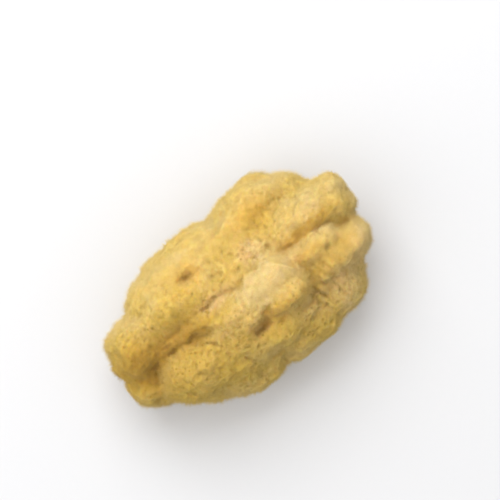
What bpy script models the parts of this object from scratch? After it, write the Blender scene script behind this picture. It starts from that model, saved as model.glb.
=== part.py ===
"""A natural sea sponge, lying on the side where it was trimmed from its rock.

It grew as one piece, so it is one closed solid. Rounded lobes are fused and
smoothed, then low lumps, the folds between the lobes and the water holes are
pressed into the surface, and the underside is cut flat.

Frame: +X along the sponge, +Y across it, +Z up. The origin is the middle of
the bounding box on the resting plane. Lengths below are in millimetres.
"""

from typing import NamedTuple

import bmesh
import bpy
import numpy as np
from mathutils import Euler, Matrix, Vector, noise

MM = 0.001

# Driving dimensions
LENGTH = 145.0
WIDTH = 87.5
HEIGHT = 66.0

# Mesh density
BALL_SUBDIVISIONS = 4
FUSE_VOXEL = 1.7
FUSE_SMOOTHING = 14
TRIANGLES = 9400

# Puffy lumps all over, as (spacing, height) of each layer; noise seldom passes the peak
PUFF_PEAK = 0.5
LUMP_LAYERS = ((20.0, 1.5), (9.5, 1.2))

# A furrow seen from above fades out between these upward parts of the outward direction
FOLD_FADE = (-0.2, 0.4)
# A water hole reaches its full depth where the surface turns this much towards its mouth
PIT_FACING = 0.5
DOWN = (0.0, 0.0, -1.0)

# Points this close to the cutting plane, in metres, count as on it
CUT_TOLERANCE = 1e-7

YELLOW = (0.76, 0.52, 0.17, 1.0)
ROUGHNESS = 0.95


class Lobe(NamedTuple):
    """A rounded swelling: centre, half sizes, and turn about Z after tilt about its own X, in degrees."""

    centre: tuple
    half: tuple
    turn: float = 0.0
    tilt: float = 0.0


class Fold(NamedTuple):
    """A furrow along a path: (x, y) points are pressed in from above, (x, y, z) points from outside."""

    path: tuple
    width: float
    depth: float


class Pit(NamedTuple):
    """A water hole: a point on its axis, its way in, half length, half width, turn in degrees, depth."""

    mouth: tuple
    inward: tuple
    half_length: float
    half_width: float
    turn: float
    depth: float


LOBES = {
    "core": Lobe((0, 0, 27), (62, 37, 36)),
    "shoulder": Lobe((-6, 25, 33), (43, 17, 25), turn=1),
    "shoulder_crest": Lobe((-18, 16, 42), (35, 14, 19), turn=3),
    "left_end": Lobe((-51, 11, 30), (20, 16, 24), turn=14),
    "left_corner": Lobe((-57, -6, 24), (14, 13, 20), turn=-12),
    "lower_lobe": Lobe((-34, -14, 38), (24, 14, 22), turn=-2),
    "lower_side": Lobe((-21, -26, 22), (29, 15, 21), turn=-16),
    "right_side": Lobe((17, -27, 24), (33, 16, 23), turn=5),
    "centre_ridge": Lobe((-5, -4, 50), (25, 9, 17), turn=4),
    "plateau": Lobe((16, -3, 51), (17, 11, 17)),
    "middle_lump": Lobe((12, 13, 44), (17, 8, 17), turn=4),
    "upper_finger": Lobe((49, 12, 38.5), (25, 10.5, 21), turn=1),
    "finger_side": Lobe((61, 4, 32), (11, 10, 20)),
    "middle_finger": Lobe((40, -4, 43), (18, 8, 20), turn=1),
    "finger_slope": Lobe((42, -13, 39), (19, 9, 20), turn=-3),
    "crown": Lobe((33, 29, 29), (22, 14, 23), turn=-16),
    "crown_low": Lobe((26, 23, 38), (12, 8, 17), turn=10),
    "crown_end": Lobe((49, 24, 27), (12, 9, 19), turn=-35),
    "right_knob": Lobe((56, -12, 35), (13, 10, 20), turn=12),
    "right_corner": Lobe((40, -24, 25), (15, 14, 21), turn=28),
    "hole_lip": Lobe((4, -25, 37), (24, 8, 18), turn=0),
    "hole_brow": Lobe((0, -9.5, 50), (18, 6.5, 15.5), turn=4),
    "ridge_side": Lobe((18, -10, 50), (15, 9, 16.5), turn=-6),
    "lower_web": Lobe((-18, -12, 44), (12, 7, 16), turn=-10),
    "finger_web": Lobe((46, 5, 35), (19, 7, 18), turn=1),
    "valley_web": Lobe((-42, 3, 36), (21, 8, 17), turn=-2),
}

FOLDS = {
    "between_fingers": Fold(((24, 8), (28, 4.5), (34, 3.5), (46, 3.5), (54, 4)), 3.0, 2.2),
    "behind_finger": Fold(((24, 21.5), (33, 25), (45, 25), (58, 23)), 3.6, 1.8),
    "knob_notch": Fold(((54, 0), (57, -3), (66, -4)), 2.6, 1.2),
    "knob_side": Fold(((30, -16), (38, -17), (46, -20), (54, -25)), 2.8, 1.0),
    "hole_furrow": Fold(((10, -17), (18, -19), (25, -18.5), (30, -25)), 2.8, 1.4),
    "main_valley": Fold(((-22, -3), (-30, -3), (-38, -0.5), (-46, -1), (-54, -2), (-58, -8)), 4.2, 4.0),
    "valley_end": Fold(((-58, -8), (-62, -16)), 3.6, 2.6),
    "valley_branch": Fold(((-51, 1), (-44, 4.5), (-35, 5.5), (-24, 6), (-15, 6)), 4.2, 2.2),
    "spine_furrow": Fold(((-17, 6), (-6, 6), (3, 4.5), (12, 7), (22, 8)), 3.0, 1.5),
    "lower_fold": Fold(((-28, -9), (-24, -13), (-20, -18), (-14, -27), (-13, -38)), 2.6, 1.2),
    "crown_slit": Fold(((9, 31), (12, 34), (17, 36)), 1.8, 2.0),
    "front_left": Fold(((-39, -31, 42), (-35, -37, 30), (-33, -36, 14)), 3.6, 2.6),
    "front_middle": Fold(((1, -34, 42), (-4, -43, 28), (1, -40, 10)), 3.8, 3.0),
    "front_right": Fold(((30, -34, 38), (34, -39, 25), (28, -36, 8)), 3.4, 2.6),
    "right_end": Fold(((68, -3, 34), (68, -2, 24), (60, 0, 8)), 3.2, 2.4),
    "back_right": Fold(((40, 35, 40), (46, 35, 26), (41, 32, 8)), 3.4, 2.8),
    "back_middle": Fold(((12, 38, 46), (8, 43, 30), (14, 40, 8)), 4.0, 3.2),
    "back_left": Fold(((-28, 36, 44), (-34, 40, 28), (-27, 36, 8)), 3.6, 2.8),
    "left_end_side": Fold(((-62, 14, 44), (-70, 15, 28), (-62, 10, 8)), 3.6, 2.6),
    "left_end_low": Fold(((-66, -6, 22), (-64, -3, 14), (-58, -2, 6)), 3.2, 2.0),
}

PITS = {
    "main_hole": Pit((0.5, -17, 60), (0.05, 0.25, -1), 7.2, 3.0, 16, 7),
    "left_hole": Pit((-14.5, 23, 60), (0.0, -0.1, -1), 4.4, 2.7, -14, 6),
    "valley_hole": Pit((-31, -2.5, 50), (0, 0, -1), 4.4, 2.4, -14, 1.4),
    "small_valley_hole": Pit((-44, -1, 50), (0, 0, -1), 3.0, 1.9, 5, 2),
    "finger_hole": Pit((32, 4, 45), (0, 0.3, -1), 4.5, 2.6, 3, 2),
    "front_hole": Pit((17, -43, 26), (-0.1, 1, -0.1), 4.2, 3.2, 20, 9),
    "front_left_hole": Pit((-50, -30, 24), (0.45, 1, -0.1), 3.4, 2.8, -10, 7),
    "right_end_hole": Pit((70, 9, 27), (-1, -0.1, -0.1), 3.2, 4.2, 90, 8),
    "back_right_hole": Pit((27, 43, 28), (0.0, -1, -0.15), 3.6, 4.4, 10, 9),
    "back_middle_hole": Pit((-10, 44, 33), (0.1, -1, -0.2), 4.8, 3.4, -10, 10),
    "back_left_hole": Pit((-50, 32, 26), (0.5, -1, 0.0), 3.4, 3.0, 25, 8),
    "left_end_hole": Pit((-72, 5, 30), (1, -0.1, -0.15), 3.4, 3.0, 90, 7),
}


def clear_scene():
    """Empties the scene that Blender starts with."""
    for obj in list(bpy.data.objects):
        bpy.data.objects.remove(obj)


def evaluated_mesh(obj):
    """A new mesh with the object's modifiers applied."""
    graph = bpy.context.evaluated_depsgraph_get()
    return bpy.data.meshes.new_from_object(obj.evaluated_get(graph))


def swap_mesh(obj, mesh):
    """Gives the object another mesh and drops its modifiers."""
    obj.modifiers.clear()
    obj.data = mesh


def lobe_matrix(lobe):
    """Places a unit ball as this lobe, in metres."""
    turned = Euler((np.radians(lobe.tilt), 0, np.radians(lobe.turn)), "XYZ").to_matrix().to_4x4()
    stretched = Matrix.Diagonal((*(Vector(lobe.half) * MM), 1))
    return Matrix.Translation(Vector(lobe.centre) * MM) @ turned @ stretched


def fused_lobes(name):
    """One smooth closed surface round all the lobes."""
    balls = bmesh.new()
    for lobe in LOBES.values():
        bmesh.ops.create_icosphere(
            balls, subdivisions=BALL_SUBDIVISIONS, radius=1, matrix=lobe_matrix(lobe)
        )
    mesh = bpy.data.meshes.new(name)
    balls.to_mesh(mesh)
    balls.free()
    obj = bpy.data.objects.new(name, mesh)
    bpy.context.scene.collection.objects.link(obj)
    fuse = obj.modifiers.new("fuse", "REMESH")
    fuse.mode = "VOXEL"
    fuse.voxel_size = FUSE_VOXEL * MM
    blend = obj.modifiers.new("blend", "SMOOTH")
    blend.iterations = FUSE_SMOOTHING
    swap_mesh(obj, evaluated_mesh(obj))
    return obj


def read_points(mesh):
    """The mesh's points, in millimetres, and its outward directions there."""
    points = np.empty(len(mesh.vertices) * 3)
    mesh.vertices.foreach_get("co", points)
    outward = np.empty(len(mesh.vertices) * 3, np.float32)
    mesh.vertex_normals.foreach_get("vector", outward)
    return points.reshape(-1, 3) / MM, outward.reshape(-1, 3).astype(float)


def write_points(mesh, points):
    """Moves the mesh's points to these places, in millimetres."""
    mesh.vertices.foreach_set("co", (points * MM).ravel())
    mesh.update()


def raise_lumps(mesh):
    """Moves each point in or out by layers of smooth noise."""
    points, outward = read_points(mesh)
    height = np.zeros(len(points))
    for spacing, most in LUMP_LAYERS:
        puffs = np.abs([noise.noise(Vector(point) / spacing) for point in points])
        height += most * (puffs / PUFF_PEAK - 0.5)
    write_points(mesh, points + outward * height[:, None])


def distance_to_path(points, path):
    """How far each point lies from a line through the path's points."""
    nearest = np.full(len(points), np.inf)
    for start, end in zip(path[:-1], path[1:]):
        along = end - start
        share = np.clip((points - start) @ along / (along @ along), 0, 1)
        away = np.linalg.norm(points - start - share[:, None] * along, axis=1)
        nearest = np.minimum(nearest, away)
    return nearest


def press_folds(mesh):
    """Presses the furrows in, the ones from above half along the vertical."""
    points, outward = read_points(mesh)
    from_above = np.zeros(len(points))
    from_outside = np.zeros(len(points))
    for fold in FOLDS.values():
        path = np.array(fold.path, float)
        seen = path.shape[1]
        away = distance_to_path(points[:, :seen], path)
        depth = fold.depth * np.exp(-((away / fold.width) ** 2))
        pressed = from_above if seen == 2 else from_outside
        np.maximum(pressed, depth, out=pressed)
    none, whole = FOLD_FADE
    from_above *= np.clip((outward[:, 2] - none) / (whole - none), 0, 1)
    downward = (np.array(DOWN) - outward) / 2
    move = downward * from_above[:, None] - outward * from_outside[:, None]
    write_points(mesh, points + move)


def press_pits(mesh):
    """Presses the water holes in."""
    points, outward = read_points(mesh)
    for pit in PITS.values():
        inward = np.array(pit.inward, float) / np.linalg.norm(pit.inward)
        turn = np.radians(pit.turn)
        long_way = np.array((np.cos(turn), np.sin(turn), 0))
        long_way -= inward * (long_way @ inward)
        long_way /= np.linalg.norm(long_way)
        short_way = np.cross(inward, long_way)
        offset = points - np.array(pit.mouth, float)
        across = np.hypot(offset @ long_way / pit.half_length, offset @ short_way / pit.half_width)
        facing = np.clip(-(outward @ inward) / PIT_FACING, 0, 1)
        depth = pit.depth * np.exp(-(across**2)) * facing
        points = points + inward * depth[:, None]
    write_points(mesh, points)


def thin_out(obj):
    """Keeps the wanted number of triangles, fewer where the surface is plain."""
    obj.data.calc_loop_triangles()
    fewer = obj.modifiers.new("fewer", "DECIMATE")
    fewer.ratio = TRIANGLES / len(obj.data.loop_triangles)
    fewer.use_collapse_triangulate = True
    swap_mesh(obj, evaluated_mesh(obj))


def trim_base(mesh):
    """Cuts the underside flat at the resting plane."""
    surface = bmesh.new()
    surface.from_mesh(mesh)
    everything = surface.verts[:] + surface.edges[:] + surface.faces[:]
    cut = bmesh.ops.bisect_plane(
        surface, geom=everything, dist=CUT_TOLERANCE, plane_co=(0, 0, 0), plane_no=DOWN, clear_outer=True
    )
    rim = [item for item in cut["geom_cut"] if isinstance(item, bmesh.types.BMEdge)]
    bmesh.ops.edgeloop_fill(surface, edges=rim)
    bmesh.ops.recalc_face_normals(surface, faces=surface.faces[:])
    bmesh.ops.triangulate(surface, faces=surface.faces[:])
    surface.to_mesh(mesh)
    surface.free()


def fit_to_size(mesh):
    """Gives the trimmed sponge's box the driving dimensions, with its base at the origin."""
    points, _ = read_points(mesh)
    low, high = points.min(axis=0), points.max(axis=0)
    middle = np.append((low[:2] + high[:2]) / 2, low[2])
    write_points(mesh, (points - middle) * (LENGTH, WIDTH, HEIGHT) / (high - low))


def sponge_material():
    """Bleached yellow sponge, quite matt."""
    material = bpy.data.materials.new("sponge_yellow")
    material.use_nodes = True
    shader = material.node_tree.nodes["Principled BSDF"]
    shader.inputs["Base Color"].default_value = YELLOW
    shader.inputs["Roughness"].default_value = ROUGHNESS
    shader.inputs["Metallic"].default_value = 0.0
    return material


def main():
    """Builds the sponge in a collection of its own."""
    clear_scene()
    sponge = fused_lobes("sponge")
    raise_lumps(sponge.data)
    press_folds(sponge.data)
    press_pits(sponge.data)
    thin_out(sponge)
    trim_base(sponge.data)
    fit_to_size(sponge.data)
    sponge.data.shade_smooth()
    sponge.data.materials.append(sponge_material())
    collection = bpy.data.collections.new("sea_sponge")
    bpy.context.scene.collection.children.link(collection)
    bpy.context.scene.collection.objects.unlink(sponge)
    collection.objects.link(sponge)


if __name__ == "__main__":
    main()
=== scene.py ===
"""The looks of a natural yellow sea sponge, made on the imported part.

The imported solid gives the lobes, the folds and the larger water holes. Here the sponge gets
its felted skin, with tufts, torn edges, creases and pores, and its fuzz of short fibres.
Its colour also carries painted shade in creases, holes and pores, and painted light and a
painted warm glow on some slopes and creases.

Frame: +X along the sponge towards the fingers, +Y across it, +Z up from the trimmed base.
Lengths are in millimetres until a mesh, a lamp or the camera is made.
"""

import logging
import math
from dataclasses import dataclass
from enum import Enum
from typing import Any, Mapping, Sequence

import bpy
import numpy as np
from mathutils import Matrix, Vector, noise


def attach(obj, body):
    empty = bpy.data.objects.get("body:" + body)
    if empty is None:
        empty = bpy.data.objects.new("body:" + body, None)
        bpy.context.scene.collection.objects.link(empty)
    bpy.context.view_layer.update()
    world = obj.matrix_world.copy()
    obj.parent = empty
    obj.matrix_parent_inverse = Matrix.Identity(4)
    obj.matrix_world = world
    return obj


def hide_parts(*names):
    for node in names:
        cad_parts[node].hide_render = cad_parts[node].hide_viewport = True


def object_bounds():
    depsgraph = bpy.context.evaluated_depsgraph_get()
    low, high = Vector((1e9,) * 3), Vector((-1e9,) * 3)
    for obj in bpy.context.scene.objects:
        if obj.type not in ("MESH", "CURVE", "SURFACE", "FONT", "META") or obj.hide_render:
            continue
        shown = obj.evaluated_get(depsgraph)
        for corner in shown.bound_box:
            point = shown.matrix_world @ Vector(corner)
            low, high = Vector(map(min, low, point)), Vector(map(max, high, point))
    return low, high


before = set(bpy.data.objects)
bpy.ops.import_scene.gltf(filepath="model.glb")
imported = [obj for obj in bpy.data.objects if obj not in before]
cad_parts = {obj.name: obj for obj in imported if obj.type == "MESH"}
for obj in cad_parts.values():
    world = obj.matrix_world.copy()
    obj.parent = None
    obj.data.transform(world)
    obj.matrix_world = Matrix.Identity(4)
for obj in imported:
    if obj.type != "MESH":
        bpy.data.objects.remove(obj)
CAD_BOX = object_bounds()

log = logging.getLogger("sponge")

Array = np.ndarray
Colour = tuple[float, float, float]

MM = 0.001
BODY = "root"
NODE = "sponge"

# How steeply swells cross their middle height, in heights a spacing
SWELL_SLOPE = 4.0
# Spreads the pores' centres over many cells of noise, so that each draws a size of its own
SIZE_DRAW = 37.0
# The smallest pore's radius, as a share of the largest one's
SMALLEST_PORE = 0.5
# Patches and lips fade in over this height, so that the sides keep the plain colour
FADE_HEIGHT = 20.0
# How a patch's soft edge is drawn together into a crisp one
CRISP_GAIN = 8.0
CRISP_START = 2.5
# How suddenly a lip ends at the ends of its path
LIP_END_POWER = 6


class Axis(Enum):
    """Which way a noise pattern is drawn out, as the share of its spacing along X, Y and Z."""

    EVEN = (1.0, 1.0, 1.0)
    DOWN = (0.8, 2.6, 2.6)


class Mark(Enum):
    """The names of what the meshes tell their materials at each point."""

    # DEEP, SHADE, MAROON, PIT, FOLD and PORE darken the colour as painted shade (FOLD partly for the
    # browner inside of the sponge); GLOW lays a painted warm glow, and PALE a paler felt together with
    # painted light.
    DEEP = "deep"
    SHADE = "shade"
    MAROON = "maroon"
    TONE = "tone"
    PORE = "pore"
    PIT = "pit"
    FOLD = "fold"
    GLOW = "glow"
    BLUSH = "blush"
    PALE = "pale"
    TIP = "tip"
    ROUGH = "rough"


def warped(points: Array, spacing: float, reach: float) -> Array:
    """Moves points about by smooth noise, so that what is drawn on them wanders.

    Args:
        points: Places, in millimetres.
        spacing: How far apart the noise turns.
        reach: How far it moves a point at most.

    Returns:
        The moved places.
    """
    shift = np.array([noise.noise_vector(Vector(p)) for p in points / spacing])
    return points + reach * shift


def swells(points: Array, spacing: float) -> Array:
    """Smooth rises and falls.

    Args:
        points: Places, in millimetres.
        spacing: How far apart the rises are.

    Returns:
        The height at each place, from about -1 to 1.
    """
    return 2.0 * np.array([noise.noise(Vector(p)) for p in points / spacing])


def cells(points: Array, spacing: float) -> tuple[Array, Array]:
    """The nearest of many scattered centres, such as those of tufts.

    Args:
        points: Places, in millimetres.
        spacing: How far apart the centres are.

    Returns:
        The distance to the nearest centre, as a share of the spacing, and that centre.
    """
    found = [noise.voronoi(Vector(p)) for p in points / spacing]
    away = np.array([distances[0] for distances, _ in found])
    centres = np.array([tuple(places[0]) for _, places in found])
    return away, centres * spacing


def ragged(points: Array, spacing: float, axis: Axis = Axis.EVEN) -> Array:
    """Irregular rises and falls with finer ones on them, as in felted fibre.

    Args:
        points: Places, in millimetres.
        spacing: How far apart the largest rises are.
        axis: Which way they are drawn out.

    Returns:
        The height at each place, from about -1 to 1.
    """
    scaled = points / (spacing * np.array(axis.value))
    return np.array([noise.fractal(Vector(p), 1.0, 2.0, 3) for p in scaled])


def cracks(
    points: Array,
    spacing: float,
    width: float,
    run: float = 1.4,
    sharpness: float = 2.0,
    whole: float = 0.4,
) -> Array:
    """Thin broken lines that wander over the surface.

    Args:
        points: Places, in millimetres.
        spacing: How far apart the lines are.
        width: Their width, as a share of the spacing.
        run: How far a line goes before it breaks off, in spacings.
        sharpness: How suddenly it breaks off.
        whole: How much more of it is whole than broken.

    Returns:
        How deep each place lies in a line, from 0 to 1.
    """
    line = np.exp(-((swells(points, spacing) / (SWELL_SLOPE * width)) ** 2))
    return line * np.clip(swells(points[:, ::-1], run * spacing) * sharpness + whole, 0, 1)


def pores(points: Array, spacing: float, reach: float) -> Array:
    """Small round holes of many sizes, scattered at random.

    Args:
        points: Places, in millimetres.
        spacing: How far apart the pores are.
        reach: The largest pore's radius, as a share of the spacing.

    Returns:
        How deep each place lies in a pore, from 0 to 1.
    """
    away, centres = cells(points, spacing)
    sizes = np.array([noise.cell(Vector(c)) for c in centres * SIZE_DRAW]) % 1.0
    radii = reach * (SMALLEST_PORE + (1 - SMALLEST_PORE) * sizes)
    return sizes * np.exp(-((away / radii) ** 2))


def leftward(points: Array, path: Sequence[Sequence[float]]) -> Array:
    """How far each place lies to the left of a path, seen from above.

    Args:
        points: Places, in millimetres.
        path: The path's own points, as (x, y).

    Returns:
        The distances to the path, below 0 on its right.
    """
    line = np.array(path, float)
    nearest = np.full(len(points), np.inf)
    for start, end in zip(line[:-1], line[1:]):
        step = end - start
        share = np.clip((points[:, :2] - start) @ step / (step @ step), 0, 1)
        offset = points[:, :2] - start - share[:, None] * step
        side = step[0] * offset[:, 1] - step[1] * offset[:, 0]
        signed = np.copysign(np.linalg.norm(offset, axis=1), side)
        nearest = np.where(np.abs(signed) < np.abs(nearest), signed, nearest)
    return nearest


def unit(vectors: Array) -> Array:
    """The same directions with a length of 1."""
    return vectors / np.maximum(np.linalg.norm(vectors, axis=1, keepdims=True), 1e-9)


class Surface:
    """A mesh whose points are handled as one array, in millimetres."""

    def __init__(self, mesh: bpy.types.Mesh) -> None:
        """Reads the mesh.

        Args:
            mesh: The mesh, in metres.
        """
        self.mesh = mesh
        self.points = np.empty((len(mesh.vertices), 3))
        mesh.vertices.foreach_get("co", self.points.ravel())
        self.points /= MM

    @property
    def outward(self) -> Array:
        """The direction out of the surface at each point.

        Returns:
            One direction for each point, with a length of 1.
        """
        normals = np.empty((len(self.points), 3), np.float32)
        self.mesh.vertex_normals.foreach_get("vector", normals.ravel())
        return normals.astype(float)

    def write(self) -> None:
        """Puts the points back into the mesh."""
        self.mesh.vertices.foreach_set("co", (self.points * MM).ravel())
        self.mesh.update()

    def raise_by(self, height: Array) -> None:
        """Moves each point out by a height.

        Args:
            height: Millimetres outward, one for each point.
        """
        self.points += self.outward * height[:, None]
        self.write()

    def smoothed(self, rounds: int) -> Array:
        """Where the points would be if the surface were evened out.

        Args:
            rounds: How many times each point goes to the mean of itself and its neighbours.

        Returns:
            The evened places.
        """
        edges = np.empty((len(self.mesh.edges), 2), np.int32)
        self.mesh.edges.foreach_get("vertices", edges.ravel())
        first, second = edges.T
        count = len(self.points)
        beside = np.bincount(first, minlength=count) + np.bincount(second, minlength=count)
        places = self.points.copy()
        for _ in range(rounds):
            total = np.empty_like(places)
            for k in range(3):
                total[:, k] = np.bincount(first, places[second, k], count)
                total[:, k] += np.bincount(second, places[first, k], count)
            places = (places + total / np.maximum(beside, 1)[:, None]) / 2
        return places

    def mark(self, name: Mark, values: Array) -> None:
        """Stores a number at each point for the material to read.

        Args:
            name: What the number says.
            values: The numbers, from 0 to 1.
        """
        attribute = self.mesh.attributes.new(name.value, "FLOAT", "POINT")
        attribute.data.foreach_set("value", np.clip(values, 0, 1).astype(np.float32))

    def marked(self, name: Mark) -> Array:
        """Reads the numbers that were stored under a name.

        Args:
            name: What the numbers say.

        Returns:
            The number at each point.
        """
        values = np.empty(len(self.points), np.float32)
        self.mesh.attributes[name.value].data.foreach_get("value", values)
        return values.astype(float)


@dataclass(frozen=True)
class Fold:
    """A crease along a path seen from above, or a rise where its depth is below 0."""

    path: tuple[tuple[float, float], ...]
    width: float
    depth: float


@dataclass(frozen=True)
class WaterHole:
    """A hole that water passed through, or one that is partly filled where its depth is below 0."""

    mouth: tuple[float, float, float]
    inward: tuple[float, float, float]
    half_length: float
    half_width: float
    turn: float
    depth: float

    def inside(self, points: Array) -> Array:
        """How far each place is from the hole's axis, as a share of its outline's distance.

        Args:
            points: Places, in millimetres.

        Returns:
            0 on the axis and 1 on the outline.
        """
        inward = self.way_in
        turned = math.radians(self.turn)
        long_way = np.array((math.cos(turned), math.sin(turned), 0.0))
        long_way -= inward * (long_way @ inward)
        long_way /= np.linalg.norm(long_way)
        offset = points - np.array(self.mouth)
        far = offset @ long_way / self.half_length
        across = offset @ np.cross(inward, long_way) / self.half_width
        return np.hypot(far, across)

    @property
    def way_in(self) -> Array:
        """The direction into the sponge, with a length of 1."""
        return np.array(self.inward, float) / np.linalg.norm(self.inward)


@dataclass(frozen=True)
class Tint:
    """A patch of another colour: where its middle is, and how far it reaches, seen from above."""

    middle: tuple[float, float]
    reach: tuple[float, float]
    share: float
    crisp: bool = False

    def at(self, points: Array) -> Array:
        """The strength of the patch.

        Args:
            points: Places, in millimetres.

        Returns:
            The strength at each place, from 0 to 1.
        """
        offset = (points[:, :2] - np.array(self.middle)) / np.array(self.reach)
        strength = np.exp(-(offset**2).sum(axis=1))
        if self.crisp:
            strength = np.clip(strength * CRISP_GAIN - CRISP_START, 0, 1)
        return self.share * strength * np.clip(points[:, 2] / FADE_HEIGHT, 0, 1)


def patched(patches: Sequence[Tint], points: Array) -> Array:
    """How strong some patches are together at each place, from 0 to 1."""
    return np.clip(sum(patch.at(points) for patch in patches), 0, 1)


@dataclass(frozen=True)
class Lip:
    """A torn edge of felt that lies over its neighbour: crisp along its path, fading to the left."""

    path: tuple[tuple[float, float], ...]
    reach: float
    height: float
    # pale: how much paler the lip is painted, partly a paler felt and partly painted light on an edge
    # facing the lamp
    pale: float
    edge: float = 0.9

    def at(self, points: Array) -> Array:
        """How much of the lip stands.

        Args:
            points: Places, in millimetres.

        Returns:
            The share of its height at each place, from 0 to 1.
        """
        inside = leftward(points, self.path)
        line = np.array(self.path)
        half_length = np.linalg.norm(line[-1] - line[0]) / 2
        beyond = np.linalg.norm(points[:, :2] - (line[0] + line[-1]) / 2, axis=1) / half_length
        fading = np.exp(-((np.maximum(inside, 0) / self.reach) ** 2) - beyond**LIP_END_POWER)
        on_top = np.clip(points[:, 2] / FADE_HEIGHT - 0.5, 0, 1)
        return fading * np.clip(inside / self.edge + 0.5, 0, 1) * on_top


FOLDS = (
    Fold(((32, 4.2), (39, 3.6), (45, 3.4)), 2.4, -1.3),
    Fold(((44, 4.4), (52, 4.8), (62, 6)), 4.4, -3.2),
    Fold(((34, -26), (44, -24)), 5.0, -1.2),
    Fold(((38, -19), (46, -21.5), (56, -25)), 3.6, -1.6),
    Fold(((-22, -18), (-10, -21)), 6.0, -2.2),
    Fold(((9, -14.5), (16, -16.5), (23, -16)), 4.0, -3.6),
    Fold(((58, -20), (64, -16)), 4.0, -1.0),
    Fold(((-18, -3), (-24, 0)), 3.5, -0.9),
    Fold(((43, 16), (45.5, 18), (49, 19.5)), 1.3, 1.2),
    Fold(((-36, -1), (-44, -1.2), (-51, 0), (-55, -3), (-58, -9)), 0.9, 0.7),
    Fold(((-30, -4), (-25, -4.5), (-22, -6)), 0.9, 1.0),
    Fold(((-52, 1), (-45, 4.5), (-38, 5), (-30, 6), (-24, 6.5), (-17, 6)), 1.2, 0.7),
    Fold(((-17, 6), (-11, 5.5), (-6, 6), (1, 3.5)), 1.2, 1.0),
    Fold(((-23, -18), (-18, -23), (-14, -29)), 0.9, 1.5),
    Fold(((-19, -17), (-14, -21.5), (-10, -24)), 0.9, 1.2),
    Fold(((-30, -7), (-27, -8), (-24, -11.5)), 1.1, 1.8),
    Fold(((-41, -17), (-37, -18.5)), 1.1, 1.6),
    Fold(((14, -7), (17, -8.5), (20, -9)), 0.8, 0.5),
    Fold(((19, -17.5), (25, -18), (28, -20), (31, -26)), 1.3, 1.4),
    Fold(((18, -25), (25, -24.5)), 1.2, 1.6),
    Fold(((19, -31), (28, -31)), 1.4, 1.8),
    Fold(((-7, -32), (1, -32)), 1.4, 1.8),
    Fold(((9, 31), (12, 34), (17, 36)), 1.2, 2.0),
    Fold(((29, -15), (38, -16), (42, -18)), 1.3, 0.7),
    Fold(((32, -12), (34, -18), (34, -25)), 1.0, 0.9),
    Fold(((39, -11), (41, -17), (42, -23)), 1.0, 0.8),
    Fold(((25, -20), (27, -27), (29, -33)), 1.2, 1.0),
    Fold(((-6, 16), (-1, 15.5)), 1.1, 1.6),
    Fold(((2, 4), (5, 5.5)), 1.0, 1.4),
)

WATER_HOLES = (
    WaterHole((0.5, -17, 60), (0.05, 0.25, -1), 7.6, 3.4, 16, -2.6),
    WaterHole((7, 10.5, 60), (0, 0, -1), 1.4, 1.1, 0, 2.4),
    WaterHole((24, 10, 60), (0, 0, -1), 1.7, 1.2, 20, 2.4),
    WaterHole((-44, 22.5, 60), (0, 0, -1), 1.4, 1.2, 0, 2.2),
    WaterHole((46, -8, 60), (0, 0, -1), 1.6, 1.0, 20, 2.0),
    WaterHole((17, -43, 26), (-0.1, 1, -0.1), 3.4, 2.4, 20, 5),
    WaterHole((-50, -30, 24), (0.45, 1, -0.1), 2.8, 2.2, -10, 4),
    WaterHole((70, 9, 27), (-1, -0.1, -0.1), 2.4, 3.4, 90, 4),
    WaterHole((27, 43, 28), (0.0, -1, -0.15), 2.8, 3.4, 10, 5),
    WaterHole((-10, 44, 33), (0.1, -1, -0.2), 4.0, 2.6, -10, 5),
    WaterHole((-50, 32, 26), (0.5, -1, 0.0), 2.8, 2.3, 25, 4),
    WaterHole((-72, 5, 30), (1, -0.1, -0.15), 2.8, 2.3, 90, 4),
)

# Painted warm glow: orange laid into shaded creases and hollows for light scattered and bounced through
# the fibres.
PAINTED_GLOWS = (
    Tint((26, 26), (13, 7), 1.0),
    Tint((60, -12), (9, 9), 0.4),
    Tint((42, 5), (18, 3.6), 1.0),
    Tint((-14.5, 23), (8, 6), 0.9),
    Tint((34, -5), (9, 4), 0.5),
    Tint((38, -16), (18, 10), 0.55),
    Tint((14, -17), (9, 4), 0.4),
    Tint((-18, -10), (12, 8), 0.3),
    Tint((44, 4.6), (13, 2.6), 0.6, crisp=True),
    Tint((2, -16.5), (10, 4.5), 1.0),
)
BLUSHES = (
    Tint((-10, 6), (11, 4), 1.0),
    Tint((14, 14), (8, 5), 0.8),
    Tint((30, -3), (6, 3), 0.6),
    Tint((-2, -17.5), (7, 3), 0.8),
    Tint((34, -26), (18, 9), 0.3),
)
SHADES = (
    Tint((-42, 3), (18, 7), 1.0),
    Tint((-56, -4), (8, 11), 0.85),
    Tint((-60, 8), (12, 10), 0.3),
    Tint((-30, -2), (8, 4), 0.8),
    Tint((-66, 4), (9, 12), 0.3),
    Tint((33, 4.8), (7, 2.4), 0.55, crisp=True),
    Tint((46, 5), (9, 2.8), 0.15, crisp=True),
    Tint((25, 9), (6, 3), 0.2, crisp=True),
    Tint((32, -4), (3.2, 2.0), 0.5, crisp=True),
    Tint((26, -18), (4, 2.5), 0.6),
    Tint((40, -24), (16, 10), 0.1),
    Tint((-2, -17.7), (6, 2.6), 0.6, crisp=True),
    Tint((5, -15), (4, 2.0), 0.45, crisp=True),
    Tint((-12.8, 23.4), (5.2, 2.8), 0.7, crisp=True),
    Tint((-35, 4), (7, 2.5), 0.3),
    Tint((-18.5, 23.6), (1.8, 1.2), 0.6, crisp=True),
)
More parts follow.
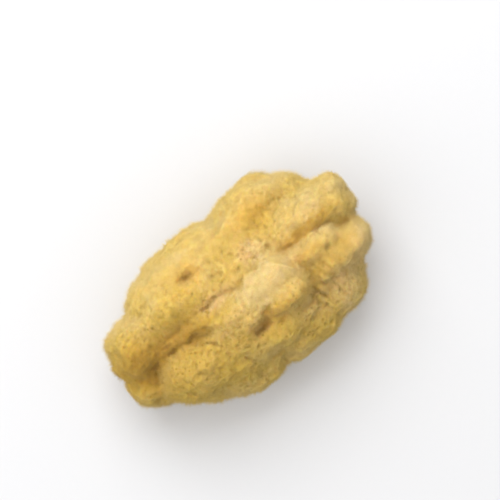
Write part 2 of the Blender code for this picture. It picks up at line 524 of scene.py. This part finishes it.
# Painted shade: dark maroon at the bottoms of the holes and of the deepest pits in the valley and
# creases.
PAINTED_HOLE_SHADES = (
    Tint((-53, -1), (3.0, 1.2), 0.7, crisp=True),
    Tint((-43.2, -0.8), (2.6, 1.1), 0.9, crisp=True),
    Tint((-31, -1.5), (4.0, 1.1), 0.6, crisp=True),
    Tint((-43, 3), (3.0, 1.0), 0.6, crisp=True),
    Tint((-17, 6.5), (3.0, 1.0), 0.8, crisp=True),
    Tint((-4.5, -18.8), (3.4, 1.3), 0.8, crisp=True),
    Tint((31, 4), (3.0, 1.0), 0.35, crisp=True),
    Tint((-14, 23), (2.4, 1.1), 0.4, crisp=True),
    Tint((28, -21), (3.5, 1.2), 0.6, crisp=True),
)
# Partly a paler felt, partly painted light: pale laid on slopes that face away from the lamp so that
# they read lit, and a painted sheen on the rims.
PALES_AND_PAINTED_LIGHT = (
    Tint((12, -5), (14, 7), 0.4),
    Tint((-10, -9), (16, 6), 0.3),
    Tint((50, 12), (22, 6), 0.4),
    Tint((-12, 30), (36, 9), 0.3),
    Tint((44, 34), (20, 8), 0.4),
    Tint((59, -13), (10, 10), 0.35),
    Tint((42, -25), (16, 8), 0.5),
    Tint((16, 15), (5, 3.5), 0.6),
    Tint((17.5, 8), (3, 2), 0.7),
    Tint((-10, 6), (10, 3), 0.4),
    Tint((47, -21), (10, 5), 0.4),
    Tint((63, -17), (7, 9), 1.0),
)
# Painted shade: a deeper, darker yellow over the left end, the lower sides and other slopes that lie in
# shade.
DEEP_PAINTED_SHADES = (
    Tint((-40, -12), (30, 20), 1.0),
    Tint((-64, 6), (14, 16), 0.8),
    Tint((-30, 6), (24, 9), 0.5),
    Tint((36, -22), (16, 10), 0.2),
    Tint((0, -34), (40, 12), 0.5),
    Tint((46, 4), (20, 14), 0.3),
    Tint((60, -9), (7, 6), 0.3),
)
# The tinted marks: DEEP, SHADE and MAROON are painted shade, GLOW a painted warm glow, PALE a paler felt
# with painted light, and BLUSH the felt's own pinker tone.
TINTED = {
    Mark.DEEP: DEEP_PAINTED_SHADES,
    Mark.GLOW: PAINTED_GLOWS,
    Mark.BLUSH: BLUSHES,
    Mark.PALE: PALES_AND_PAINTED_LIGHT,
    Mark.SHADE: SHADES,
    Mark.MAROON: PAINTED_HOLE_SHADES,
}
LIPS = (
    Lip(
        ((31, -9), (27, -5), (22.5, 1), (17.5, 6), (14.5, 4.2), (7, 6), (2, 1.5), (-4, 1.5)),
        8.5,
        0.7,
        0.6,
    ),
    Lip(((56, -1), (48, 1.4), (42.8, 2.2), (35.3, 2.7), (28.4, 3.4)), 3.0, 0.5, 0.5),
    Lip(((-9, -16.5), (-3, -14.5), (3, -13), (9, -11)), 3.0, 0.6, 0.5),
    Lip(((-25, -4), (-32, -3), (-39.5, -3.2), (-47, -3), (-53, -5.5), (-57, -12)), 5.0, 0.6, 0.1),
    Lip(((3, 3), (-5, 4), (-12, 4.8), (-18, 4.5)), 3.0, 0.4, 0.3),
)
STREAKS = (Tint((36, -22), (22, 11), 1.0),)
CRACKS = (
    Tint((-34, -14), (22, 12), 0.8),
    Tint((-42, 6), (22, 12), 0.5),
    Tint((36, -22), (22, 12), 0.7),
)
SMOOTHS = (
    Tint((16, -3), (14, 9), 0.8),
    Tint((50, 12), (22, 5), 0.6),
    Tint((-20, 28), (26, 10), 0.9),
    Tint((6, 32), (20, 9), 0.6),
    Tint((14, 28), (12, 10), 0.3),
    Tint((44, 34), (18, 8), 0.6),
    Tint((59, -12), (12, 11), 0.8),
    Tint((44, -7), (16, 9), 0.5),
    Tint((-8, -2), (14, 6), 0.5),
    Tint((38, 4), (14, 3), 0.8),
)


@dataclass
class Skin:
    """The sponge's felted skin: tufts, torn edges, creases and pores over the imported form."""

    coarse_voxel: float = 0.9
    fine_voxel: float = 0.74
    facet_rounds: int = 14
    blend_rounds: int = 2
    fuzz_reach: float = 1.0
    wander_spacing: float = 5.0
    wander_reach: float = 1.3
    tear_spacing: float = 3.2
    tear_reach: float = 1.6
    lump_spacing: float = 8.5
    lump_height: float = 0.2
    tuft_spacing: float = 2.9
    tuft_height: float = 0.5
    gap_start: float = 0.03
    gap_whole: float = 0.42
    streak_spacing: float = 4.2
    streak_height: float = 0.65
    crack_spacing: float = 9.0
    crack_width: float = 0.022
    crack_depth: float = 0.8
    pore_spacing: float = 3.8
    pore_reach: float = 0.26
    pore_depth: float = 1.2
    side_pore_spacing: float = 9.0
    side_pore_reach: float = 0.3
    side_pore_depth: float = 4.0
    side_pore_slope: float = 1.5
    facing_gain: float = 2.0
    hole_power: int = 4
    resting_height: float = 2.0
    pit_rounds: int = 6
    pit_depth: float = 0.4
    fold_rounds: int = 60
    fold_depth: float = 2.2
    seed: int = 5

    def build(self) -> bpy.types.Object:
        """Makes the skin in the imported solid's place.

        Returns:
            The skin, with its marks stored at its points.
        """
        noise.seed_set(self.seed)
        piece = bpy.data.objects.new("felted_skin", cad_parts[NODE].data.copy())
        bpy.context.scene.collection.objects.link(piece)
        self._remesh(piece, self.coarse_voxel, self.facet_rounds)
        surface = Surface(piece.data)
        self._press(surface)
        self._remesh(piece, self.fine_voxel, self.blend_rounds)
        surface = Surface(piece.data)
        self._roughen(surface)
        self._fit(surface)
        self._mark(surface)
        piece.data.shade_smooth()
        return piece

    @staticmethod
    def _remesh(piece: bpy.types.Object, voxel: float, rounds: int) -> None:
        """Gives the piece an even mesh.

        Args:
            piece: The object.
            voxel: The mesh's spacing, in millimetres.
            rounds: How many times the mesh is smoothed.
        """
        even = piece.modifiers.new("even", "REMESH")
        even.mode = "VOXEL"
        even.voxel_size = voxel * MM
        soften = piece.modifiers.new("soften", "SMOOTH")
        soften.iterations = rounds
        graph = bpy.context.evaluated_depsgraph_get()
        made = bpy.data.meshes.new_from_object(piece.evaluated_get(graph))
        made.materials.clear()
        piece.modifiers.clear()
        piece.data = made

    def _press(self, surface: Surface) -> None:
        """Presses the creases and the water holes in.

        Args:
            surface: The skin so far.
        """
        outward = surface.outward
        wandered = warped(surface.points, self.wander_spacing, self.wander_reach)
        depth = np.zeros(len(surface.points))
        facing_up = np.clip(outward[:, 2] * self.facing_gain, 0, 1)
        for fold in FOLDS:
            away = leftward(wandered, fold.path) / fold.width
            crease = fold.depth * np.exp(-(away**2)) * facing_up
            depth = np.where(np.abs(crease) > np.abs(depth), crease, depth)
        surface.points -= outward * depth[:, None]
        for hole in WATER_HOLES:
            facing = np.clip(-(outward @ hole.way_in) * self.facing_gain, 0, 1)
            sunk = hole.depth * np.exp(-(hole.inside(wandered) ** self.hole_power)) * facing
            surface.points += hole.way_in * sunk[:, None]
        surface.write()

    def _roughen(self, surface: Surface) -> None:
        """Raises lumps, tufts and torn edges, and presses in the cracks and pores between them.

        Args:
            surface: The skin so far.
        """
        resting = self._resting(surface)
        rough = resting * (1 - patched(SMOOTHS, surface.points))
        steep = resting * np.clip(1 - self.side_pore_slope * surface.outward[:, 2], 0, 1)
        streaked = patched(STREAKS, surface.points)
        wandered = warped(surface.points, self.wander_spacing, self.wander_reach)
        surface.raise_by(self.lump_height * swells(wandered, self.lump_spacing) * resting)
        tufts = ragged(wandered, self.tuft_spacing) * (1 - streaked) * self.tuft_height
        tufts += ragged(wandered, self.streak_spacing, Axis.DOWN) * streaked * self.streak_height
        small = pores(wandered, self.pore_spacing, self.pore_reach) * rough
        large = pores(wandered, self.side_pore_spacing, self.side_pore_reach) * steep
        cracked = patched(CRACKS, surface.points)
        lines = cracks(wandered, self.crack_spacing, self.crack_width) * cracked * rough
        depths = (self.pore_depth * small, self.side_pore_depth * large, self.crack_depth * lines)
        torn = self._torn(surface)
        edges = sum(lip.height * lip.at(torn) for lip in LIPS)
        surface.raise_by(tufts * rough - np.maximum.reduce(depths) + edges)
        gaps = np.clip((-tufts - self.gap_start) / (self.gap_whole - self.gap_start), 0, 1)
        # The pore mark darkens pores, cracks and the gaps between tufts in the colour: painted shade in
        # these recesses.
        surface.mark(Mark.PORE, np.maximum.reduce((small, large, lines, gaps * rough)))
        surface.mark(Mark.ROUGH, rough)

    def _resting(self, surface: Surface) -> Array:
        """Where the relief stands: 0 on the trimmed base, which lies flat, and 1 well above it."""
        return np.clip(surface.points[:, 2] / self.resting_height, 0, 1)

    def _torn(self, surface: Surface) -> Array:
        """The points moved about, so that the edge of a patch looks torn."""
        return warped(surface.points, self.tear_spacing, self.tear_reach)

    def _fit(self, surface: Surface) -> None:
        """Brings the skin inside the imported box, with room left for the fuzz.

        Args:
            surface: The skin.
        """
        low, high = (np.array(corner) / MM for corner in CAD_BOX)
        low = low + (self.fuzz_reach, self.fuzz_reach, 0.0)
        high = high - self.fuzz_reach
        own_low, own_high = surface.points.min(axis=0), surface.points.max(axis=0)
        scale = (high - low) / (own_high - own_low)
        surface.points = low + (surface.points - own_low) * scale
        surface.write()

    def _mark(self, surface: Surface) -> None:
        """Stores how deep each point lies, for painted shade in pits and folds, and in which tinted
        patch.

        Args:
            surface: The finished skin.
        """
        outward = surface.outward
        # Painted shade: the pit mark darkens small pits, and the fold mark darkens creases, partly also
        # for the browner inside of the sponge.
        below = ((surface.smoothed(self.pit_rounds) - surface.points) * outward).sum(axis=1)
        surface.mark(Mark.PIT, below / self.pit_depth)
        below = ((surface.smoothed(self.fold_rounds) - surface.points) * outward).sum(axis=1)
        surface.mark(Mark.FOLD, below / self.fold_depth)
        torn = self._torn(surface)
        for name, patches in TINTED.items():
            strength = patched(patches, torn)
            # The lips' pale share joins the pale mark: painted light on edges facing the lamp, with some
            # paler felt.
            if name is Mark.PALE:
                strength += sum(lip.pale * lip.at(torn) for lip in LIPS)
            surface.mark(name, strength)


@dataclass
class Fuzz:
    """The short fibres that stand out of the skin, leaning together into tufts."""

    pieces: tuple[str, ...] = ("fuzz_left_end", "fuzz_left", "fuzz_right", "fuzz_fingers")
    fibres: int = 49000
    length: float = 1.35
    length_spread: float = 0.35
    shortest: float = 0.3
    longest: float = 1.8
    half_width: float = 0.058
    sunk: float = 0.3
    lean: float = 0.45
    gather: float = 0.4
    calm: float = 0.85
    tuft_spacing: float = 1.8
    peak: float = 0.5
    side_growth: float = 0.7
    pit_share: float = 0.75
    base_margin: float = 0.3
    seed: int = 7

    def build(self, skin: bpy.types.Object) -> list[bpy.types.Object]:
        """Grows the fibres on the skin.

        Args:
            skin: The finished skin.

        Returns:
            The pieces, each with the fibres of one stretch of the sponge.
        """
        chance = np.random.default_rng(self.seed)
        total = self.fibres * len(self.pieces)
        roots, outward, marks = self._scatter(skin.data, total, chance)
        order = np.argsort(roots[:, 0], kind="stable")
        made = []
        for name, chosen in zip(self.pieces, np.array_split(order, len(self.pieces))):
            part = {mark: values[chosen] for mark, values in marks.items()}
            made.append(self._piece(name, roots[chosen], outward[chosen], part, chance))
        return made

    def _scatter(
        self, mesh: bpy.types.Mesh, total: int, chance: np.random.Generator
    ) -> tuple[Array, Array, dict[Mark, Array]]:
        """Picks where the fibres stand, evenly over the skin and not on its base.

        Args:
            mesh: The skin's mesh.
            total: How many fibres are wanted.
            chance: The source of random numbers.

        Returns:
            Their roots, the skin's outward directions there, and the skin's marks there.
        """
        surface = Surface(mesh)
        mesh.calc_loop_triangles()
        corners = np.empty((len(mesh.loop_triangles), 3), np.int32)
        mesh.loop_triangles.foreach_get("vertices", corners.ravel())
        a, b, c = (surface.points[corners[:, k]] for k in range(3))
        area = np.linalg.norm(np.cross(b - a, c - a), axis=1)
        area[(a[:, 2] + b[:, 2] + c[:, 2]) / 3 < self.base_margin] = 0
        chosen = chance.choice(len(corners), total, p=area / area.sum())
        u, v = chance.random((2, total))
        over = u + v > 1
        u[over], v[over] = 1 - u[over], 1 - v[over]
        weights = np.stack((1 - u - v, u, v), axis=1)
        at = corners[chosen]

        def blend(values: Array) -> Array:
            """Blends the values of the three points round each root.

            Args:
                values: A number or a vector for each point of the skin.

            Returns:
                The value at each root.
            """
            picked = values[at]
            shape = weights.shape + (1,) * (picked.ndim - 2)
            return (picked * weights.reshape(shape)).sum(axis=1)

        own = (Mark.TIP, Mark.TONE)
        marks = {name: blend(surface.marked(name)) for name in Mark if name not in own}
        marks[Mark.TONE] = 0.5 + (chance.random(total) - 0.5) * (1 - self.calm * (1 - marks[Mark.ROUGH]))
        return blend(surface.points), unit(blend(surface.outward)), marks

    def _piece(
        self,
        name: str,
        roots: Array,
        outward: Array,
        marks: Mapping[Mark, Array],
        chance: np.random.Generator,
    ) -> bpy.types.Object:
        """Makes one piece, each fibre a thin spike with three sides.

        Args:
            name: The piece's name.
            roots: Where the fibres stand.
            outward: The skin's outward directions there.
            marks: The skin's marks there.
            chance: The source of random numbers.

        Returns:
            The piece.
        """
        count = len(roots)
        away, centres = cells(roots, self.tuft_spacing)
        towards = centres - roots
        towards -= outward * (towards * outward).sum(axis=1, keepdims=True)
        towards /= self.tuft_spacing / 2
        tilt = chance.normal(size=(count, 3)) * self.lean
        direction = unit(outward + self.gather * towards + tilt)
        short = 1 - self.pit_share * np.maximum(marks[Mark.PIT], marks[Mark.PORE])
        grown = chance.normal(1, self.length_spread, count).clip(self.shortest, self.longest)
        length = self.length * grown * short
        length *= 1 + self.peak * (0.5 - away) + self.side_growth * (1 - np.clip(outward[:, 2], 0, 1))
        tips = roots + direction * length[:, None]
        low, high = (np.array(corner) / MM for corner in CAD_BOX)
        tips = np.clip(tips, low, high)
        side = unit(np.cross(direction, chance.normal(size=(count, 3))))
        other = np.cross(direction, side)
        foot = roots - direction * self.sunk
        points = np.empty((count, 4, 3))
        for k in range(3):
            turned = 2 * math.pi * k / 3
            points[:, k] = foot + self.half_width * (math.cos(turned) * side + math.sin(turned) * other)
        points[:, :3, 2] = np.maximum(points[:, :3, 2], 0)
        points[:, 3] = tips
        faces = np.array(((0, 1, 3), (1, 2, 3), (2, 0, 3), (2, 1, 0)))
        triangles = (np.arange(count)[:, None, None] * 4 + faces).reshape(-1, 3)
        mesh = bpy.data.meshes.new(name)
        mesh.from_pydata((points * MM).reshape(-1, 3), [], triangles)
        mesh.shade_smooth()
        mesh.normals_split_custom_set_from_vertices(np.repeat(outward, 4, axis=0))
        piece = bpy.data.objects.new(name, mesh)
        bpy.context.scene.collection.objects.link(piece)
        surface = Surface(mesh)
        for mark, values in marks.items():
            surface.mark(mark, np.repeat(values, 4))
        surface.mark(Mark.TIP, np.tile((0.0, 0.0, 0.0, 1.0), count))
        return piece


@dataclass(frozen=True)
class Mottling:
    """Soft noise that is stretched and cut off, so that it gathers into spots."""

    size: float
    detail: float
    gain: float
    start: float


class Value:
    """A shader socket that takes part in sums: each operator adds one Math node."""

    def __init__(self, shader: "Shader", socket: bpy.types.NodeSocket) -> None:
        """Wraps a socket.

        Args:
            shader: The material that the socket belongs to.
            socket: The output socket.
        """
        self.shader = shader
        self.socket = socket

    def _sum(self, operation: str, first: Any, second: Any) -> "Value":
        """Adds a Math node.

        Args:
            operation: The node's operation.
            first: A Value or a number.
            second: A Value or a number.

        Returns:
            The node's result.
        """
        return self.shader.add("Math", {"operation": operation}, {0: first, 1: second})

    def __add__(self, other: Any) -> "Value":
        """This plus other."""
        return self._sum("ADD", self, other)

    __radd__ = __add__

    def __sub__(self, other: Any) -> "Value":
        """This minus other."""
        return self._sum("SUBTRACT", self, other)

    def __rsub__(self, other: Any) -> "Value":
        """Other minus this."""
        return self._sum("SUBTRACT", other, self)

    def __mul__(self, other: Any) -> "Value":
        """This times other."""
        return self._sum("MULTIPLY", self, other)

    __rmul__ = __mul__

    def held(self) -> "Value":
        """This kept between 0 and 1."""
        return self.shader.add("Clamp", {}, {"Value": self})


class Shader:
    """A material that is put together from nodes."""

    def __init__(self, name: str) -> None:
        """Starts a material.

        Args:
            name: The material's name.
        """
        self.material = bpy.data.materials.new(name)
        self.material.use_nodes = True
        self.tree = self.material.node_tree
        self.surface = self.tree.nodes["Principled BSDF"]

    def add(
        self,
        kind: str,
        settings: Mapping[str, Any],
        sockets: Mapping[int | str, Any],
        out: int | str = 0,
    ) -> Value:
        """Adds a node.

        Args:
            kind: The node's type, without the words ShaderNode in front.
            settings: What is set on the node before its sockets are.
            sockets: The value or link of each named or numbered input.
            out: Which output is wanted.

        Returns:
            That output.
        """
        node = self.tree.nodes.new("ShaderNode" + kind)
        for name, value in settings.items():
            setattr(node, name, value)
        for name, value in sockets.items():
            self.feed(node.inputs[name], value)
        return Value(self, node.outputs[out])

    def feed(self, socket: bpy.types.NodeSocket, value: Any) -> None:
        """Links a value to a socket, or sets it there.

        Args:
            socket: The input socket.
            value: A Value, a number or a colour.
        """
        if isinstance(value, Value):
            self.tree.links.new(value.socket, socket)
        elif isinstance(value, tuple) and len(value) == 3 and socket.type == "RGBA":
            socket.default_value = (*value, 1.0)
        else:
            socket.default_value = value

    def set(self, name: str, value: Any) -> None:
        """Feeds a value to an input of the material's surface."""
        self.feed(self.surface.inputs[name], value)

    def mark(self, name: Mark) -> Value:
        """The number that the mesh stores under a name."""
        return self.add("Attribute", {"attribute_name": name.value}, {}, "Fac")

    def mottle(self, size: float, detail: float) -> Value:
        """Soft noise.

        Args:
            size: How far apart its spots are, in millimetres.
            detail: How many finer layers it has.

        Returns:
            The noise, about 0.5 on the whole.
        """
        place = self.add("TexCoord", {}, {}, "Object")
        scale = 1 / (size * MM)
        return self.add("TexNoise", {}, {"Vector": place, "Scale": scale, "Detail": detail})

    def stretched(self, mottling: Mottling) -> Value:
        """Noise with more contrast, which may pass 0 and 1."""
        return self.mottle(mottling.size, mottling.detail) * mottling.gain - mottling.start

    def mottled(self, mottling: Mottling) -> Value:
        """Noise that is gathered into spots, from 0 to 1."""
        return self.stretched(mottling).held()

    def specks(self, size: float, reach: float) -> Value:
        """Small round spots scattered through the felt.

        Args:
            size: How far apart they are, in millimetres.
            reach: The largest spot's radius, as a share of the size.

        Returns:
            1 in the middle of each spot and 0 between them.
        """
        place = self.add("TexCoord", {}, {}, "Object")
        sockets = {"Vector": place, "Scale": 1 / (size * MM)}
        away = self.add("TexVoronoi", {"feature": "F1"}, sockets, "Distance")
        return ((reach - away) * (2 / reach)).held()

    def mix(self, share: Any, under: Any, over: Any) -> Value:
        """Lays one colour over another.

        Args:
            share: How much of the upper colour shows, from 0 to 1.
            under: The lower colour.
            over: The upper colour.

        Returns:
            The mixed colour.
        """
        settings = {"data_type": "RGBA", "blend_type": "MIX"}
        return self.add("Mix", settings, {0: share, 6: under, 7: over}, 2)


# YELLOW is the felt; PALE is its paler tone on fibre tips and in broad mottling, and also painted light;
# OLIVE is its darker tone in spots, grain and fibres, and also painted shade in pits, pores and specks.
# DEEP, BROWN and MAROON are painted shade (BROWN in folds partly the browner inside of the sponge),
# ORANGE is a painted warm glow in shaded creases, and BLUSH is the felt's own pinker tone.
YELLOW: Colour = (0.81, 0.585, 0.155)
PALE: Colour = (0.89, 0.73, 0.42)
DEEP: Colour = (0.65, 0.43, 0.06)
OLIVE: Colour = (0.47, 0.29, 0.045)
BROWN: Colour = (0.49, 0.24, 0.05)
ORANGE: Colour = (0.82, 0.50, 0.085)
BLUSH: Colour = (0.80, 0.52, 0.26)
MAROON: Colour = (0.22, 0.09, 0.03)


@dataclass(frozen=True)
class Wash:
    """A colour laid over the felt, as strongly as the mesh's mark and the share say."""

    mark: Mark
    colour: Colour
    share: float


@dataclass(frozen=True)
class SpongeFinish:
    """Dry yellow sponge fibre: its colours with painted light and shade laid in, and how matt it is."""

    name: str
    # DEEP is painted shade, PALE a paler felt with painted light, GLOW a painted warm glow, BLUSH the
    # felt's own pinker tone.
    patches: tuple[Wash, ...] = (
        Wash(Mark.DEEP, DEEP, 0.75),
        Wash(Mark.PALE, PALE, 0.7),
        Wash(Mark.GLOW, ORANGE, 0.7),
        Wash(Mark.BLUSH, BLUSH, 0.5),
    )
    # Painted shade in hollows: brown in folds (partly the browner inside), brown and maroon in shaded
    # creases and holes, olive in pits and pores.
    painted_hollow_shade: tuple[Wash, ...] = (
        Wash(Mark.FOLD, BROWN, 0.2),
        Wash(Mark.SHADE, BROWN, 0.5),
        Wash(Mark.MAROON, MAROON, 0.7),
        Wash(Mark.PIT, OLIVE, 0.3),
        Wash(Mark.PORE, OLIVE, 0.45),
    )
    broad: Mottling = Mottling(22.0, 2.0, 1.8, 0.75)
    spots: Mottling = Mottling(4.5, 3.0, 2.6, 1.25)
    grain: Mottling = Mottling(0.55, 2.0, 3.0, 1.3)
    clumps: Mottling = Mottling(8.0, 1.0, 4.0, 1.9)
    deep_clumps: float = 0.8
    speck_size: float = 2.9
    speck_reach: float = 0.28
    spot_share: float = 0.3
    speck_share: float = 0.7
    grain_share: float = 0.22
    tip_share: float = 0.2
    tone_start: float = 0.4
    tone_share: float = 0.7
    roughness: float = 0.95
    fibre_scatter: float = 1.0
    gloss: float = 0.1
    sheen: float = 0.1
    sheen_tint: Colour = (1.0, 0.8, 0.4)
    glow: float = 0.8
    glow_reach: Colour = (1.0, 0.62, 0.2)
    glow_scale: float = 3.5
    bump_strength: float = 0.6
    bump_distance: float = 0.35

    def material(self, fibres: bool) -> bpy.types.Material:
        """Makes the material.

        Args:
            fibres: True for the fuzz, whose tips are paler, and False for the skin.

        Returns:
            The material.
        """
        shader = Shader(self.name)
        colour = shader.mix(shader.mottled(self.broad), YELLOW, PALE)
        # Painted light and shade come in with the patches, the hollow washes and the specks; the
        # mottling, tips and fibre tone are the felt's own colour.
        colour = self._washed(shader, colour, self.patches)
        colour = shader.mix(shader.mottled(self.spots) * self.spot_share, colour, OLIVE)
        colour = self._washed(shader, colour, self.painted_hollow_shade)
        colour = shader.mix(self._painted_pore_specks(shader) * self.speck_share, colour, OLIVE)
        if fibres:
            darker = (shader.mark(Mark.TONE) - self.tone_start).held()
            colour = shader.mix(shader.mark(Mark.TIP) * self.tip_share, colour, PALE)
            colour = shader.mix(darker * self.tone_share, colour, OLIVE)
        colour = shader.mix(shader.mottled(self.grain) * self.grain_share, colour, OLIVE)
        shader.set("Base Color", colour)
        shader.set("Roughness", self.roughness)
        shader.set("Diffuse Roughness", self.fibre_scatter)
        shader.set("Sheen Weight", self.sheen)
        shader.set("Sheen Tint", self.sheen_tint)
        shader.set("Specular IOR Level", self.gloss)
        if not fibres:
            shader.set("Subsurface Weight", self.glow)
            shader.set("Subsurface Radius", self.glow_reach)
            shader.set("Subsurface Scale", self.glow_scale * MM)
            shader.set("Normal", self._bumps(shader))
        return shader.material

    @staticmethod
    def _washed(shader: Shader, colour: Value, washes: Sequence[Wash]) -> Value:
        """Lays some washes over a colour, the first one lowest.

        Args:
            shader: The material.
            colour: The colour so far.
            washes: The washes.

        Returns:
            The colour with the washes on it.
        """
        for wash in washes:
            colour = shader.mix(shader.mark(wash.mark) * wash.share, colour, wash.colour)
        return colour

    def _painted_pore_specks(self, shader: Shader) -> Value:
        """Clumps of dark specks painted for shaded pores between the tufts, where the skin is rough.

        Args:
            shader: The material.

        Returns:
            How dark each place is, from 0 to 1.
        """
        clumps = shader.stretched(self.clumps) + shader.mark(Mark.DEEP) * self.deep_clumps
        dots = shader.specks(self.speck_size, self.speck_reach)
        return dots * clumps.held() * shader.mark(Mark.ROUGH)

    def _bumps(self, shader: Shader) -> Value:
        """The fine grain of the felt between the fibres.

        Args:
            shader: The material.

        Returns:
            The bumped normal.
        """
        grain = shader.mottle(self.grain.size, self.grain.detail)
        distance = self.bump_distance * MM
        sockets = {"Strength": self.bump_strength, "Distance": distance, "Height": grain}
        return shader.add("Bump", {}, sockets)


@dataclass
class Studio:
    """A pale floor, soft light and the camera, which looks straight down as in the photograph."""

    pixel: float = 0.00048
    frame_pixels: float = 500.0
    sponge_middle: tuple[float, float] = (241.5, 293.7)
    roll: float = math.radians(39.0)
    camera_height: float = 1.2
    sponge_height: float = 0.03
    sensor: float = 36.0
    floor_size: float = 6.0
    floor_colour: Colour = (0.74, 0.74, 0.75)
    floor_fleck: float = 0.985
    floor_grain: float = 3.0
    floor_detail: float = 4.0
    floor_roughness: float = 0.9
    key_way: tuple[float, float, float] = (-0.35, 0.9, 1.15)
    key_distance: float = 1.1
    key_size: float = 0.9
    key_power: float = 9.0
    fill_way: tuple[float, float, float] = (-0.9, -0.5, 1.2)
    fill_distance: float = 1.4
    fill_size: float = 1.4
    fill_power: float = 5.0
    sky: float = 0.74

    def build(self) -> None:
        """Makes the floor, the light and the camera."""
        self._floor()
        self._lamp("key_light", self.key_way, self.key_distance, self.key_size, self.key_power)
        self._lamp("fill_light", self.fill_way, self.fill_distance, self.fill_size, self.fill_power)
        self._sky()
        self._camera()
        bpy.context.scene.view_settings.view_transform = "Standard"

    def _from_photo(self, right: float, up: float) -> Vector:
        """Turns a step in the picture into one in the frame.

        Args:
            right: The step to the right.
            up: The step up.

        Returns:
            The same step along X and Y.
        """
        cosine, sine = math.cos(self.roll), math.sin(self.roll)
        return Vector((right * cosine + up * sine, up * cosine - right * sine, 0.0))

    def _floor(self) -> None:
        """Lays the floor under the sponge."""
        half = self.floor_size / 2
        corners = [(x * half, y * half, 0.0) for x, y in ((-1, -1), (1, -1), (1, 1), (-1, 1))]
        mesh = bpy.data.meshes.new("floor")
        mesh.from_pydata(corners, [], [(0, 1, 2, 3)])
        floor = bpy.data.objects.new("floor", mesh)
        bpy.context.scene.collection.objects.link(floor)
        shader = Shader("white_paper")
        grain = shader.mottle(self.floor_grain, self.floor_detail)
        fleck = tuple(part * self.floor_fleck for part in self.floor_colour)
        shader.set("Base Color", shader.mix(grain, fleck, self.floor_colour))
        shader.set("Roughness", self.floor_roughness)
        mesh.materials.append(shader.material)

    def _lamp(
        self, name: str, way: tuple[float, float, float], distance: float, size: float, power: float
    ) -> None:
        """Hangs a soft lamp.

        Args:
            name: The lamp's name.
            way: Where it stands, seen in the picture: right, up and towards the camera.
            distance: How far it is from the sponge.
            size: The side of its square.
            power: Its power in watts.
        """
        light = bpy.data.lights.new(name, "AREA")
        light.size = size
        light.energy = power
        lamp = bpy.data.objects.new(name, light)
        towards = (self._from_photo(*way[:2]) + Vector((0, 0, way[2]))).normalized()
        lamp.location = towards * distance + Vector((0, 0, self.sponge_height))
        lamp.rotation_mode = "QUATERNION"
        lamp.rotation_quaternion = towards.to_track_quat("Z", "Y")
        bpy.context.scene.collection.objects.link(lamp)

    def _sky(self) -> None:
        """Gives an even white light from all round."""
        world = bpy.data.worlds.new("white_room")
        world.use_nodes = True
        background = world.node_tree.nodes["Background"]
        background.inputs["Color"].default_value = (1.0, 1.0, 1.0, 1.0)
        background.inputs["Strength"].default_value = self.sky
        bpy.context.scene.world = world

    def _camera(self) -> None:
        """Puts the camera over the sponge, turned so that the sponge lies as in the picture."""
        lens = bpy.data.cameras.new("camera")
        lens.sensor_width = self.sensor
        lens.lens = lens.sensor_width * self.camera_height / (self.frame_pixels * self.pixel)
        camera = bpy.data.objects.new("camera", lens)
        half = self.frame_pixels / 2
        right = (half - self.sponge_middle[0]) * self.pixel
        up = (self.sponge_middle[1] - half) * self.pixel
        above = Vector((0, 0, self.camera_height + self.sponge_height))
        camera.location = self._from_photo(right, up) + above
        camera.rotation_euler = (0.0, 0.0, -self.roll)
        bpy.context.scene.collection.objects.link(camera)
        bpy.context.scene.camera = camera


def dress(piece: bpy.types.Object, material: bpy.types.Material) -> None:
    """Gives a piece its material and body.

    Args:
        piece: The piece.
        material: Its material.
    """
    piece.data.materials.clear()
    piece.data.materials.append(material)
    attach(piece, BODY)
    log.info("%s: %d faces", piece.name, len(piece.data.polygons))


def main() -> None:
    """Builds the studio, the skin and the fuzz."""
    logging.basicConfig(level=logging.INFO, format="%(name)s %(message)s")
    Studio().build()
    skin = Skin().build()
    fuzz = Fuzz().build(skin)
    dress(skin, SpongeFinish("felted_skin").material(fibres=False))
    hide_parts(NODE)
    fibre = SpongeFinish("fuzz_fibre").material(fibres=True)
    for piece in fuzz:
        dress(piece, fibre)


if __name__ == "__main__":
    main()
